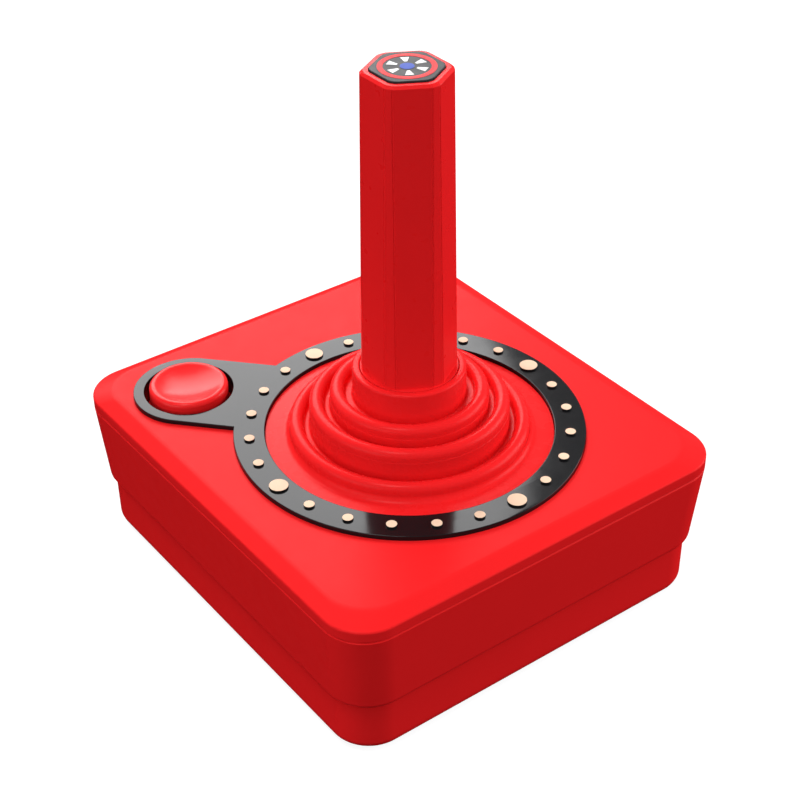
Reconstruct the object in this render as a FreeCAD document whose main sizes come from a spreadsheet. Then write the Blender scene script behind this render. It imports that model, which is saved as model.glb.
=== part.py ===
"""Retro joystick controller: a red two-part case with a lid, a sprung stick in a
rubber bellows and one fire button, as a parametric FreeCAD document.

Millimetres. The origin is the middle of the footprint on the table. +X is the
player's right, +Y points away from the player and +Z is up.
"""
import FreeCAD
import Part
import Sketcher
import math
import os

V = FreeCAD.Vector
doc = FreeCAD.newDocument("RetroJoystick")
sheet = doc.addObject("Spreadsheet::Sheet", "Dims")

DRIVING = [
    # case
    ("case_width", 90.0, "widest plan size across, at the seam under the lid"),
    ("case_depth", 99.0, "widest plan size front to back"),
    ("corner_round", 8.9, "plan radius of the lid's corners"),
    ("foot_proud", 0.8, "rubber feet below the case"),
    ("lower_height", 11.7, "lower shell, underside to step"),
    ("upper_height", 18.1, "upper shell, step to seam"),
    ("lid_height", 3.7, "lid, seam to top face"),
    ("upper_taper", 1.25, "each side of the upper shell draws in by this at the step"),
    ("step_inset", 0.95, "lower shell set back under the upper shell's edge"),
    ("lower_taper", 0.05, "each side of the lower shell draws in by this at the floor"),
    ("upper_wall", 2.4, "wall of the upper shell"),
    ("deck_thick", 2.0, "flat deck of the upper shell, under the lid"),
    ("floor_thick", 2.0, "floor of the lower shell"),
    ("tongue_thick", 1.2, "locating tongue round the lower shell"),
    ("tongue_height", 1.6, "how far the tongue reaches into the upper shell"),
    ("fit_gap", 0.1, "clearance of moulded parts that locate each other"),
    ("bottom_round", 1.7, "rounding of the lower shell's bottom edge"),
    ("lid_edge", 0.42, "small bevel on the lid's outer edge"),
    ("lid_margin", 3.2, "width of the lid's wide bevel, from the case's side"),
    ("lid_fall", 1.3, "fall of that bevel"),
    ("seam_chamfer", 0.4, "bevel under the lid, all round the seam"),
    # stick and button places
    ("stick_x", 0.0, "stick axis, across"),
    ("stick_y", -6.1, "stick axis, front to back"),
    ("button_from_left", 16.35, "button axis in from the case's left edge"),
    ("button_from_back", 18.1, "button axis in from the case's back edge"),
    # trim plate
    ("trim_thick", 1.5, "black trim plate"),
    ("trim_sunk", 0.55, "how deep the plate lies in the lid"),
    ("trim_outer", 35.1, "outer radius of the plate's ring"),
    ("trim_width", 6.2, "width of the plate's ring"),
    ("arm_radius", 11.35, "round end of the plate's arm, and half the arm's width"),
    ("arm_turn", -47.4, "direction of the arm from the button, degrees"),
    ("window_gap", 1.05, "open gap in the plate round the button"),
    ("stud_turn", 2.03, "the dots' first angle, degrees"),
    ("stud_small", 1.05, "radius of a small dot"),
    ("stud_large", 1.87, "radius of a large dot"),
    ("stud_height", 0.43, "dots above the plate"),
    ("peg_radius", 0.8, "locating pegs under the plate"),
    ("peg_length", 1.2, "depth of those pegs"),
    ("peg_edge", 1.35, "pegs in from the plate's outer edge"),
    ("skirt_gap", 0.1, "plate's skirt above the upper shell's deck"),
    # boot
    ("flange_held", 3.4, "width of the boot's flange under the plate"),
    ("flange_rim", 1.2, "thickness of the flange under the plate"),
    ("boot_wall", 0.9, "wall of the bellows"),
    ("fold_one", 24.0, "outer radius of the first fold"),
    ("fold_pitch", 4.15, "each fold is smaller than the last by this"),
    ("fold_bevel", 1.4, "bevel on a fold's outer edge"),
    ("fold_width", 2.9, "a fold's outer wall to the far edge of its crest"),
    ("crease_wall", 0.75, "rubber under the crease behind a fold"),
    ("crest_one", 4.1, "top of the first fold above the flange"),
    ("crest_two", 8.8, "top of the second fold"),
    ("crest_three", 11.3, "top of the third fold"),
    ("crease_depth", 2.1, "crease behind each fold, below its top"),
    ("collar_wall", 1.5, "wall of the collar round the grip"),
    ("collar_top", 16.0, "top of the collar above the flange"),
    ("boot_gap", 0.4, "clearance between collar and grip"),
    # grip
    ("grip_reach", 77.3, "top of the grip above the lid"),
    ("grip_flat_low", 17.2, "across the grip's flats at the collar"),
    ("grip_flat_high", 15.2, "across its flats at the top"),
    ("corner_strip", 1.6, "width of the flat strip on each corner"),
    ("grip_root", 9.3, "radius of the grip's round root in the collar"),
    ("grip_root_depth", 8.0, "length of that root"),
    ("grip_edge", 0.5, "bevel round the grip's top"),
    ("cap_inset", 1.4, "grip wall round the black cap"),
    ("cap_sunk", 1.2, "depth of the cap's seat"),
    ("cap_proud", 0.4, "cap above the grip"),
    ("cap_bevel", 0.25, "bevel on the cap's edge"),
    # stick, gimbal and frame
    ("pivot_drop", 7.1, "both tilt axes below the deck"),
    ("core_radius", 5.0, "stick core inside the grip"),
    ("core_top_gap", 6.0, "grip solid above the core"),
    ("core_fit", 0.05, "core in the grip"),
    ("core_foot", 4.0, "radius of the core below the hub"),
    ("hub_wide", 14.0, "hub on the core, across"),
    ("hub_deep", 16.8, "hub on the core, front to back"),
    ("hub_swing", 2.5, "room for the hub to tilt in the ring, each side"),
    ("hub_side_gap", 0.2, "hub to gimbal ring, along the stick pin"),
    ("hub_high", 9.0, "height of the hub"),
    ("ring_wall", 5.5, "wall of the gimbal ring"),
    ("ring_high", 5.6, "height of the gimbal ring"),
    ("ring_corner", 3.0, "bevel of the ring's and the frame's corners"),
    ("pin_radius", 1.5, "steel pins of the gimbal"),
    ("pin_press", 0.02, "a pin in the piece that holds it"),
    ("pin_running", 0.06, "a pin in the piece that turns on it"),
    ("pin_back", 0.5, "pin end inside the gimbal ring's inner face"),
    ("ear_gap", 0.6, "gimbal ring to the frame's ears"),
    ("ear_thick", 3.2, "ears of the pivot frame"),
    ("ear_half", 4.5, "ears beside and below their pin"),
    ("window_room", 2.0, "room round the ring in the frame's window, front and back"),
    ("frame_rail", 3.9, "frame screws out from the window"),
    ("frame_edge", 4.0, "frame's edge out from its screws"),
    ("frame_thick", 2.4, "plate of the pivot frame"),
    ("deck_opening", 14.0, "round opening in the deck for the stick"),
    ("lid_ledge", 4.0, "lid's ledge inside the first fold"),
    # switch actuator
    ("actuator_clear", 2.9, "underside of the actuator above the switches"),
    ("actuator_thick", 2.4, "arms of the actuator"),
    ("actuator_over", 1.0, "an arm's end beyond the middle of its switch"),
    ("actuator_wide", 5.6, "width of an arm"),
    ("actuator_hub", 6.0, "radius of the actuator's middle"),
    # fire button
    ("button_radius", 8.1, "fire button"),
    ("button_proud", 1.5, "button above the trim plate"),
    ("button_guide", 0.1, "button in its guide tube"),
    ("button_lip", 1.0, "bevel on the button's top edge"),
    ("dish_radius", 6.2, "round hollow in the button's top"),
    ("dish_depth", 0.9, "depth of that hollow"),
    ("button_crown", 3.0, "thickness of the button's top"),
    ("button_skirt", 1.5, "wall of the button's skirt"),
    ("guide_wall", 1.65, "wall of the guide tube"),
    ("guide_low", 5.6, "guide tube, seam to its lower end"),
    ("stop_gap", 0.2, "button's flange under the guide tube"),
    ("stop_thick", 1.4, "flange that stops the button"),
    ("stop_radius", 9.6, "radius of that flange"),
    ("stem_radius", 2.0, "stem that presses the fire switch"),
    ("button_travel", 1.5, "full travel of the button"),
    ("switch_clear", 0.1, "stem above the switch at full travel"),
    ("lid_hole_gap", 2.1, "open gap in the lid round the button"),
    # button board
    ("button_board_drop", 11.6, "button board below the deck"),
    ("board_thick", 1.6, "both circuit boards"),
    ("button_boss_reach", 12.6, "button board bosses from the button axis"),
    ("button_boss", 2.4, "radius of those bosses"),
    ("button_board_end", 3.0, "half width of the button board's ends"),
    ("button_board_middle", 6.4, "half width of its middle"),
    ("leaf_thick", 0.3, "sheet of the return spring"),
    ("leaf_base", 4.6, "half length of the spring's base on the board"),
    ("leaf_base_wide", 8.0, "width of that base"),
    ("leaf_arm_wide", 5.0, "width of the spring's arms"),
    ("leaf_reach", 9.0, "tip of each arm from the button axis"),
    ("leaf_tip", 1.4, "flat tip of an arm under the button's flange"),
    ("leaf_window", 0.15, "room round the switch in the base"),
    ("leaf_rest", 0.05, "tips below the button's flange"),
    # switches
    ("switch_size", 6.0, "square body of a switch"),
    ("switch_body", 3.5, "height of that body"),
    ("plunger_radius", 1.75, "switch plunger"),
    ("plunger_high", 0.8, "switch plunger above the body"),
    ("switch_reach", 13.0, "direction switches from the stick axis"),
    # main board
    ("standoff", 1.6, "board above the floor"),
    ("standoff_radius", 3.0, "board standoffs"),
    ("board_side_gap", 0.45, "main board to the screw posts"),
    ("board_front_gap", 8.55, "main board to the front wall"),
    ("board_back_gap", 2.05, "main board to the back wall"),
    ("board_corner", 3.0, "corners cut off the main board"),
    ("board_bolt", 3.0, "board screws in from its edges"),
    ("battery_long", 32.0, "battery across"),
    ("battery_wide", 20.0, "battery front to back"),
    ("battery_high", 6.2, "battery thickness"),
    ("battery_x", 14.0, "middle of the battery, across"),
    ("battery_gap", 6.5, "battery to the back edge of the main board"),
    ("battery_round", 1.5, "rounded edges of the battery"),
    ("pad_thick", 0.8, "adhesive pad under the battery"),
    ("socket_wide", 9.0, "charging socket across"),
    ("socket_high", 3.2, "charging socket height"),
    ("socket_long", 7.4, "charging socket depth"),
    ("socket_wall", 0.35, "shell of the socket"),
    ("socket_recess", 0.4, "socket mouth behind the case's back"),
    ("chip_size", 10.0, "controller chip"),
    ("chip_high", 1.4, "chip thickness"),
    ("chip_gap", 7.0, "chip beside the battery"),
    # fasteners and feet
    ("post_front", 19.5, "front pair of case screws in from the front"),
    ("post_clear", 1.04, "back pair of screw bosses to the button board"),
    ("post_radius", 4.0, "screw posts of the lower shell"),
    ("boss_radius", 3.5, "screw bosses of the upper shell"),
    ("post_gap", 0.2, "post to boss"),
    ("case_screw_radius", 1.35, "case screw shank"),
    ("case_screw_head", 2.6, "case screw head radius"),
    ("case_screw_head_high", 1.8, "case screw head"),
    ("case_screw_long", 14.0, "case screw shank length"),
    ("head_well", 3.0, "depth of the well that holds a case screw's head"),
    ("small_screw_radius", 1.0, "shank of the small screws"),
    ("small_screw_head", 2.0, "head radius of the small screws"),
    ("small_screw_head_high", 1.2, "head of the small screws"),
    ("small_screw_long", 3.6, "shank length of the small screws"),
    ("screw_fit", 0.05, "screw in its hole"),
    ("lid_boss", 2.3, "bosses under the lid"),
    ("lid_boss_edge", 8.0, "lid bosses in from the case's edges"),
    ("lid_boss_beside", 20.2, "one lid boss to the right of the button"),
    ("foot_radius", 5.0, "rubber feet"),
    ("foot_seat", 0.8, "depth of the feet's seats"),
    ("foot_edge", 3.8, "feet in from the edges of the underside"),
]

STUD_COUNT = 24
LARGE_STUD_EVERY = 6
PEG_ANGLES = (40.0, 180.0, 290.0)
HEX_SIDES = 6
SMALL_SIDES = 8
POST_SIDES = 12
FOOT_SIDES = 16
SEAT_SIDES = 24
SMALL_STUD_SIDES = 8
LARGE_STUD_SIDES = 12
HALF_ARC = 0.293


class Size:
    """A length as a number, with the expression that the document keeps for it."""

    def __init__(self, number, text):
        self.number = number
        self.text = text

    def __add__(self, other):
        other = size_of(other)
        return Size(self.number + other.number, f"({self.text} + {other.text})")

    def __sub__(self, other):
        other = size_of(other)
        return Size(self.number - other.number, f"({self.text} - {other.text})")

    def __mul__(self, other):
        other = size_of(other)
        return Size(self.number * other.number, f"({self.text} * {other.text})")

    def __truediv__(self, other):
        other = size_of(other)
        return Size(self.number / other.number, f"({self.text} / {other.text})")

    def __neg__(self):
        return Size(-self.number, f"(0 - {self.text})")


def size_of(value):
    return value if isinstance(value, Size) else Size(float(value), f"{float(value):.6f}")


def cosine(angle):
    angle = size_of(angle)
    return Size(math.cos(math.radians(angle.number)), f"cos({angle.text})")


def sine(angle):
    angle = size_of(angle)
    return Size(math.sin(math.radians(angle.number)), f"sin({angle.text})")


def diagonal(across, along):
    number = math.hypot(across.number, along.number)
    return Size(number, f"sqrt({across.text} ^ 2 + {along.text} ^ 2)")


class Sizes:
    """The driving dimensions by name, as the sheet holds them."""


D = Sizes()
for row, (alias, number, meaning) in enumerate(DRIVING, start=1):
    sheet.set(f"A{row}", meaning)
    sheet.set(f"B{row}", str(number))
    sheet.setAlias(f"B{row}", alias)
    setattr(D, alias, Size(number, f"Dims.{alias}"))
doc.recompute()

# plan places
BUTTON_X = D.button_from_left - D.case_width / 2
BUTTON_Y = D.case_depth / 2 - D.button_from_back
TONGUE_INSET = D.upper_taper + D.upper_wall + D.fit_gap
ROOM_INSET = TONGUE_INSET + D.tongue_thick
ROOM_HALF_WIDE = D.case_width / 2 - ROOM_INSET
ROOM_HALF_DEEP = D.case_depth / 2 - ROOM_INSET
UNDER_INSET = D.upper_taper + D.step_inset + D.lower_taper
BUTTON_BOLT = D.button_boss_reach * cosine(45)
POST_X = ROOM_HALF_WIDE - D.boss_radius - D.fit_gap
POST_FRONT = D.post_front - D.case_depth / 2
POST_BACK = BUTTON_Y - BUTTON_BOLT - D.button_board_end - D.boss_radius - D.post_clear
FOOT_IN = UNDER_INSET + D.foot_edge + D.foot_radius
BOARD_WIDE = (POST_X - D.post_radius - D.board_side_gap) * 2
BOARD_FRONT = D.board_front_gap - ROOM_HALF_DEEP
BOARD_BACK = ROOM_HALF_DEEP - D.board_back_gap
BATTERY_Y = BOARD_BACK - D.battery_gap - D.battery_wide / 2
CHIP_X = D.battery_x - (D.battery_long + D.chip_size) / 2 - D.chip_gap

# radii and widths about the stick and the button
TRIM_INNER = D.trim_outer - D.trim_width
STUD_CIRCLE = D.trim_outer - D.trim_width / 2
PEG_CIRCLE = D.trim_outer - D.peg_edge
BUTTON_WINDOW = D.button_radius + D.window_gap
LID_BUTTON_HOLE = D.button_radius + D.lid_hole_gap
ARM_LENGTH = diagonal(BUTTON_X - D.stick_x, BUTTON_Y - D.stick_y)
FLANGE_OUTER = TRIM_INNER + D.flange_held
COLLAR_RADIUS = D.grip_root + D.boot_gap + D.collar_wall
LID_OPENING = D.fold_one - D.lid_ledge
RING_INNER_WIDE = D.hub_wide + D.hub_swing * 2
RING_INNER_DEEP = D.hub_deep + D.hub_side_gap * 2
RING_OUTER_WIDE = RING_INNER_WIDE + D.ring_wall * 2
RING_OUTER_DEEP = RING_INNER_DEEP + D.ring_wall * 2
FRAME_BOLT = RING_OUTER_DEEP / 2 + D.window_room + D.frame_rail
FRAME_SIZE = (FRAME_BOLT + D.frame_edge) * 2
ACTUATOR_REACH = D.switch_reach + D.actuator_over

# levels above the table
BOTTOM = D.foot_proud
STEP = BOTTOM + D.lower_height
SEAM = STEP + D.upper_height
LID_TOP = SEAM + D.lid_height
LID_EDGE = LID_TOP - D.lid_fall
DECK_LOW = SEAM - D.deck_thick
FLOOR_TOP = BOTTOM + D.floor_thick
BOARD_LOW = FLOOR_TOP + D.standoff
BOARD_TOP = BOARD_LOW + D.board_thick
TRIM_LOW = LID_TOP - D.trim_sunk
TRIM_TOP = TRIM_LOW + D.trim_thick
FLANGE_SEAT = TRIM_LOW - D.flange_rim
COLLAR_TOP = TRIM_LOW + D.collar_top
GRIP_TOP = LID_TOP + D.grip_reach
CORE_TOP = GRIP_TOP - D.core_top_gap
PIVOT = DECK_LOW - D.pivot_drop
ACTUATOR_LOW = BOARD_TOP + D.switch_body + D.plunger_high + D.actuator_clear
ACTUATOR_TOP = ACTUATOR_LOW + D.actuator_thick
BUTTON_BOARD_TOP = DECK_LOW - D.button_board_drop
BUTTON_BOARD_LOW = BUTTON_BOARD_TOP - D.board_thick
BUTTON_TOP = TRIM_TOP + D.button_proud
GUIDE_LOW = SEAM - D.guide_low
STOP_TOP = GUIDE_LOW - D.stop_gap
STOP_LOW = STOP_TOP - D.stop_thick
FIRE_SWITCH_TOP = BUTTON_BOARD_TOP + D.switch_body + D.plunger_high
POST_TOP = STEP - D.post_gap
CASE_SCREW_SEAT = BOTTOM + D.head_well


def bind(thing, **properties):
    """Tie properties to sizes. Two underscores in a name stand for a dot."""
    for name, size in properties.items():
        thing.setExpression(name.replace("__", "."), size_of(size).text)


def new_body(label, x=0, y=0):
    body = doc.addObject("PartDesign::Body", label)
    body.Label = label
    body.AllowCompound = True
    bind(body, Placement__Base__x=x, Placement__Base__y=y)
    return body


def stick_body(label):
    return new_body(label, D.stick_x, D.stick_y)


def button_body(label):
    return new_body(label, BUTTON_X, BUTTON_Y)


TURNS = {
    "Z": FreeCAD.Rotation(),
    "X": FreeCAD.Rotation(V(0, 1, 0), 90),
    "Y": FreeCAD.Rotation(V(1, 0, 0), -90),
}


def place(feature, x, y, z, along="Z"):
    feature.Placement = FreeCAD.Placement(V(), TURNS[along])
    bind(feature, Placement__Base__x=x, Placement__Base__y=y, Placement__Base__z=z)


def rod(body, radius, length, x=0, y=0, z=0, along="Z", cut=False):
    """A round post, or a hole if cut, from x, y, z along one axis."""
    kind = "Subtractive" if cut else "Additive"
    feature = body.newObject(f"PartDesign::{kind}Cylinder", "Hole" if cut else "Post")
    bind(feature, Radius=radius, Height=length)
    place(feature, x, y, z, along)
    return feature


def block(body, wide, deep, high, x=0, y=0, z=0, cut=False):
    """A box, or a notch if cut, centred on x, y and standing on z."""
    kind = "Subtractive" if cut else "Additive"
    feature = body.newObject(f"PartDesign::{kind}Box", "Notch" if cut else "Block")
    bind(feature, Length=wide, Width=deep, Height=high)
    place(feature, size_of(x) - size_of(wide) / 2, size_of(y) - size_of(deep) / 2, z)
    return feature


def plane_of(body, role):
    return [item for item in body.Origin.OriginFeatures if item.Role == role][0]


def sketch_on(body, role, height=0):
    sketch = body.newObject("Sketcher::SketchObject", "Outline")
    sketch.AttachmentSupport = [(plane_of(body, role), "")]
    sketch.MapMode = "FlatFace"
    bind(sketch, AttachmentOffset__Base__z=height)
    return sketch


def held(geometry, end, axis, size):
    """One end of a line, or a circle's centre, at a distance from the sketch's own axis."""
    size = size_of(size)
    if size.number == 0:
        line = -2 if axis == "X" else -1
        return Sketcher.Constraint("PointOnObject", geometry, end, line), None
    return Sketcher.Constraint(f"Distance{axis}", -1, 1, geometry, end, size.number), size


def fix(sketch, rules):
    """Add constraints together, and tie those that carry a size to it."""
    first = sketch.ConstraintCount
    sketch.addConstraint([constraint for constraint, size in rules])
    for index, (constraint, size) in enumerate(rules, start=first):
        if size:
            sketch.setExpression(f"Constraints[{index}]", size.text)


def polygon(sketch, *outlines):
    """Closed outlines through points, each point held by its own sizes."""
    rules = []
    for points in outlines:
        corners = [V(size_of(x).number, size_of(y).number, 0) for x, y in points]
        count = len(corners)
        first = sketch.GeometryCount
        following = corners[1:] + corners[:1]
        sides = [Part.LineSegment(start, end) for start, end in zip(corners, following)]
        sketch.addGeometry(sides)
        for index, (x, y) in enumerate(points):
            side = first + index
            joined = first + (index + 1) % count
            rules.append((Sketcher.Constraint("Coincident", side, 2, joined, 1), None))
            rules.append(held(side, 1, "X", x))
            rules.append(held(side, 1, "Y", y))
    fix(sketch, rules)
    return sketch


def circle(sketch, radius, x, y):
    """A circle with its centre and radius held by sizes."""
    radius = size_of(radius)
    middle = V(size_of(x).number, size_of(y).number, 0)
    index = sketch.addGeometry(Part.Circle(middle, V(0, 0, 1), radius.number))
    across = Sketcher.Constraint("Radius", index, radius.number)
    fix(sketch, [held(index, 3, "X", x), held(index, 3, "Y", y), (across, radius)])


def regular(x, y, radius, sides):
    """Corners of a regular outline, which stands for a small circle."""
    angles = [360 / sides * (index + 0.5) for index in range(sides)]
    return [(x + radius * cosine(angle), y + radius * sine(angle)) for angle in angles]


def spots(sketch, places, radius, sides):
    """Equal outlines at the places: circles, or regular ones of so many sides."""
    radius = size_of(radius)
    places = [(size_of(x), size_of(y)) for x, y in places]
    if sides:
        polygon(sketch, *[regular(x, y, radius, sides) for x, y in places])
        return
    for x, y in places:
        circle(sketch, radius, x, y)


def rods(body, places, radius, length, low, sides=0):
    """Equal posts, standing on a level."""
    sketch = sketch_on(body, "XY_Plane", low)
    spots(sketch, places, radius, sides)
    return pad(body, sketch, length)


def holes(body, places, radius, length, low, sides=0):
    """Equal holes, from a level upwards."""
    sketch = sketch_on(body, "XY_Plane", size_of(low) + length)
    spots(sketch, places, radius, sides)
    return pocket_down(body, sketch, length)


def around(body, feature, count):
    """Repeat the last feature at equal turns about the body's axis."""
    doc.recompute()
    pattern = body.newObject("PartDesign::PolarPattern", "Round")
    pattern.Originals = [feature]
    pattern.Axis = (feature.Profile[0], ["N_Axis"])
    pattern.Angle = 360
    pattern.Occurrences = count
    body.Tip = pattern
    return pattern


def rounded_plan(body, wide, deep, radius, height):
    """A rounded rectangle about the body's axis, level at a height."""
    sketch = sketch_on(body, "XY_Plane", height)
    a, b, r = size_of(wide).number / 2, size_of(deep).number / 2, size_of(radius).number
    ends = [
        (V(-a + r, -b, 0), V(a - r, -b, 0)),
        (V(a, -b + r, 0), V(a, b - r, 0)),
        (V(a - r, b, 0), V(-a + r, b, 0)),
        (V(-a, b - r, 0), V(-a, -b + r, 0)),
    ]
    centres = [V(a - r, -b + r, 0), V(a - r, b - r, 0), V(-a + r, b - r, 0), V(-a + r, -b + r, 0)]
    for start, end in ends:
        sketch.addGeometry(Part.LineSegment(start, end))
    for index, centre in enumerate(centres):
        round_corner = Part.Circle(centre, V(0, 0, 1), r)
        first = math.radians(-90 + 90 * index)
        sketch.addGeometry(Part.ArcOfCircle(round_corner, first, first + math.pi / 2))
    rules = []
    for index in range(4):
        arc = 4 + index
        kind = "Vertical" if index % 2 else "Horizontal"
        rules.append((Sketcher.Constraint("Tangent", index, 2, arc, 1), None))
        rules.append((Sketcher.Constraint("Tangent", arc, 2, (index + 1) % 4, 1), None))
        rules.append((Sketcher.Constraint(kind, index), None))
    rules += [(Sketcher.Constraint("Equal", 4, arc), None) for arc in (5, 6, 7)]
    rules += [
        (Sketcher.Constraint("Symmetric", 4, 3, 6, 3, -1, 1), None),
        (Sketcher.Constraint("Radius", 4, r), size_of(radius)),
        (Sketcher.Constraint("DistanceX", 3, 1, 1, 1, 2 * a), size_of(wide)),
        (Sketcher.Constraint("DistanceY", 0, 1, 2, 1, 2 * b), size_of(deep)),
    ]
    fix(sketch, rules)
    return sketch


def case_plan(body, inset, corner, level):
    """The case's plan, drawn in on every side, with corners of one radius."""
    twice = size_of(inset) * 2
    return rounded_plan(body, D.case_width - twice, D.case_depth - twice, corner, level)


def bevelled_plan(body, wide, deep, corner, level):
    """A rectangle about the body's axis with its corners cut off."""
    a, b = size_of(wide) / 2, size_of(deep) / 2
    quarter = [(1, 1), (-1, 1), (-1, -1), (1, -1)]
    points = []
    for across, along in quarter:
        side = (a * across, (b - corner) * along)
        end = ((a - corner) * across, b * along)
        points += [side, end] if across * along > 0 else [end, side]
    return polygon(sketch_on(body, "XY_Plane", level), points)


def loft(body, *sections):
    feature = body.newObject("PartDesign::AdditiveLoft", "Loft")
    feature.Profile = sections[0]
    feature.Sections = list(sections[1:])
    feature.Ruled = True
    return feature


def pad(body, sketch, height):
    feature = body.newObject("PartDesign::Pad", "Pad")
    feature.Profile = sketch
    bind(feature, Length=height)
    return feature


def pocket_down(body, sketch, depth):
    feature = body.newObject("PartDesign::Pocket", "Pocket")
    feature.Profile = sketch
    bind(feature, Length=depth)
    return feature


def turn(body, points, cut=False):
    """A turned form: radius and height pairs, spun about the body's axis."""
    sketch = polygon(sketch_on(body, "XZ_Plane"), points)
    kind = "Groove" if cut else "Revolution"
    feature = body.newObject(f"PartDesign::{kind}", "Turned")
    feature.Profile = sketch
    feature.ReferenceAxis = (sketch, ["V_Axis"])
    feature.Angle = 360
    return feature


def dress(body, kind, size, wanted):
    """Fillet or chamfer the edges of the body's last feature that are wanted."""
    doc.recompute()
    base = body.Tip
    names = [f"Edge{i}" for i, edge in enumerate(base.Shape.Edges, start=1) if wanted(edge)]
    feature = body.newObject(f"PartDesign::{kind}", kind)
    feature.Base = (base, names)
    bind(feature, **{"Radius" if kind == "Fillet" else "Size": size})
    return feature


def at_level(edge, level, slack=0.01):
    return all(abs(vertex.Z - level.number) < slack for vertex in edge.Vertexes)


def hex_points(flats, strip):
    """A hexagon across flats, with each corner cut back to a strip."""
    reach = flats / 2 / cosine(30) - strip / 2 * cosine(60) / sine(60)
    points = []
    for corner in range(HEX_SIDES):
        angle = 30 + 60 * corner
        for side in (-1, 1):
            x = reach * cosine(angle) - strip / 2 * side * sine(angle)
            y = reach * sine(angle) + strip / 2 * side * cosine(angle)
            points.append((x, y))
    return points


def screws(body, places, seat, up, radius, length, head, head_high, sides):
    """Screws with plain heads, seated at a level."""
    seat = size_of(seat)
    rods(body, places, radius, length, seat if up else seat - length, sides)
    rods(body, places, head, head_high, seat - head_high if up else seat, sides)


def case_posts():
    """Places of the case screws as sizes: both sides, front and back."""
    return [(POST_X * side, row) for side in (-1, 1) for row in (POST_FRONT, POST_BACK)]


def foot_places():
    x = D.case_width / 2 - FOOT_IN
    y = D.case_depth / 2 - FOOT_IN
    return [(x * across, y * along) for across in (-1, 1) for along in (-1, 1)]


def lid_bosses():
    """Three corners, and a fourth beside the button, which takes its corner."""
    x = D.case_width / 2 - D.lid_boss_edge
    y = D.case_depth / 2 - D.lid_boss_edge
    return [(x, y), (x, -y), (-x, -y), (BUTTON_X + D.lid_boss_beside, y)]


def board_bolts():
    half = BOARD_WIDE / 2 - D.board_bolt
    rows = (BOARD_FRONT + D.board_bolt, BOARD_BACK - D.board_bolt)
    return [(half * side, row) for side in (-1, 1) for row in rows]


def frame_bolts(x=0, y=0):
    """The square of frame screws about a middle."""
    x, y = size_of(x), size_of(y)
    corners = [(across, along) for across in (-1, 1) for along in (-1, 1)]
    return [(x + FRAME_BOLT * across, y + FRAME_BOLT * along) for across, along in corners]


def pegs(x=0, y=0):
    """The trim plate's pegs about the ring's middle."""
    x, y = size_of(x), size_of(y)
    return [(x + PEG_CIRCLE * cosine(turn), y + PEG_CIRCLE * sine(turn)) for turn in PEG_ANGLES]


def button_bosses():
    """Two bosses beside the button, on the diagonal that the case leaves free."""
    return [(BUTTON_X + BUTTON_BOLT * side, BUTTON_Y + BUTTON_BOLT * side) for side in (-1, 1)]


def make_lower_shell():
    body = new_body("lower_shell")
    top_inset = D.upper_taper + D.step_inset
    half = D.bottom_round * HALF_ARC
    corner = D.corner_round - D.step_inset
    loft(
        body,
        case_plan(body, UNDER_INSET + D.bottom_round, corner, BOTTOM),
        case_plan(body, UNDER_INSET + half, corner, BOTTOM + half),
        case_plan(body, UNDER_INSET, corner, BOTTOM + D.bottom_round),
        case_plan(body, top_inset, corner, STEP),
    )
    inner_corner = D.corner_round - D.upper_wall
    pad(body, case_plan(body, TONGUE_INSET, inner_corner, STEP), D.tongue_height)
    mouth_corner = inner_corner - D.tongue_thick
    mouth = case_plan(body, ROOM_INSET, mouth_corner, STEP + D.tongue_height)
    pocket_down(body, mouth, D.lower_height + D.tongue_height - D.floor_thick)
    post_high = POST_TOP - BOTTOM
    rods(body, case_posts(), D.post_radius, post_high, BOTTOM, POST_SIDES)
    rods(body, board_bolts(), D.standoff_radius, D.standoff, FLOOR_TOP, SMALL_SIDES)
    hole = D.case_screw_radius + D.screw_fit
    holes(body, case_posts(), hole, post_high, BOTTOM, POST_SIDES)
    well = D.case_screw_head + D.screw_fit
    holes(body, case_posts(), well, D.head_well, BOTTOM, POST_SIDES)
    depth = D.small_screw_long - D.board_thick + D.screw_fit
    hole = D.small_screw_radius + D.screw_fit
    holes(body, board_bolts(), hole, depth, BOARD_LOW - depth, SMALL_SIDES)
    holes(body, foot_places(), D.foot_radius + D.screw_fit, D.foot_seat, BOTTOM, FOOT_SIDES)
    slot_wide = D.socket_wide + D.fit_gap * 2
    slot_high = D.socket_high + D.fit_gap * 2
    wall_out = D.case_depth / 2 - top_inset
    wall_in = ROOM_HALF_DEEP
    slot_deep = wall_out - wall_in + D.step_inset
    slot_y = wall_in + slot_deep / 2 - D.fit_gap
    block(body, slot_wide, slot_deep, slot_high, D.battery_x, slot_y, BOARD_TOP - D.fit_gap, cut=True)
    return body


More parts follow.
